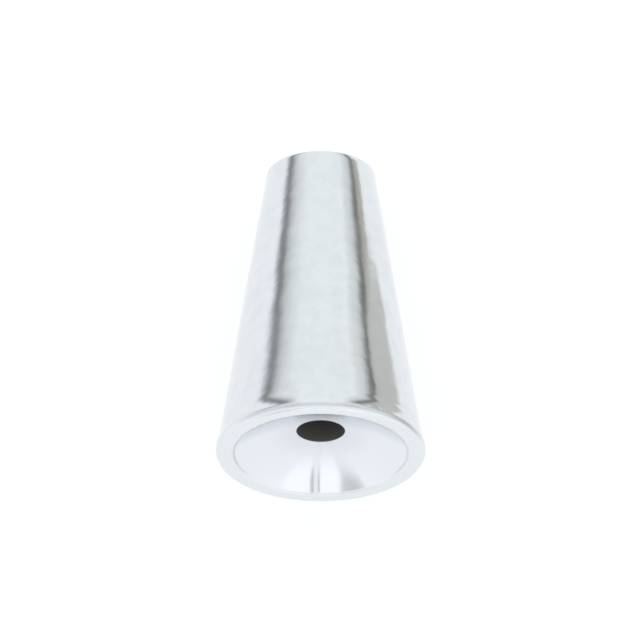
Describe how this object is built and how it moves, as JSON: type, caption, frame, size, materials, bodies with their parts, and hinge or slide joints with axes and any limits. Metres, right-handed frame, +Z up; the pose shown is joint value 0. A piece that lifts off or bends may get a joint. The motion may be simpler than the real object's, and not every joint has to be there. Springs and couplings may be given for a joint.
{
  "type": "memory wire end cap",
  "caption": "Small bright plated cone cap with a round dish in its wide end and a blind hole on its axis, glued on the end of a memory wire; lies on its side.",
  "frame": {"origin": "on the surface that the cap lies on, below the middle of its length", "axes": "+Z up from the surface; the cap lies on its side with its length along Y, the wide dished end towards -Y and tilted up, the closed end towards +Y, and the edges of both ends touch the surface; +X across"},
  "size_m": [0.004, 0.0064, 0.004],
  "materials": {
    "silver_plate": "bright silver plating over turned and tumbled brass"
  },
  "bodies": {
    "root": {"end_cap": "silver_plate"}
  },
  "joints": []
}
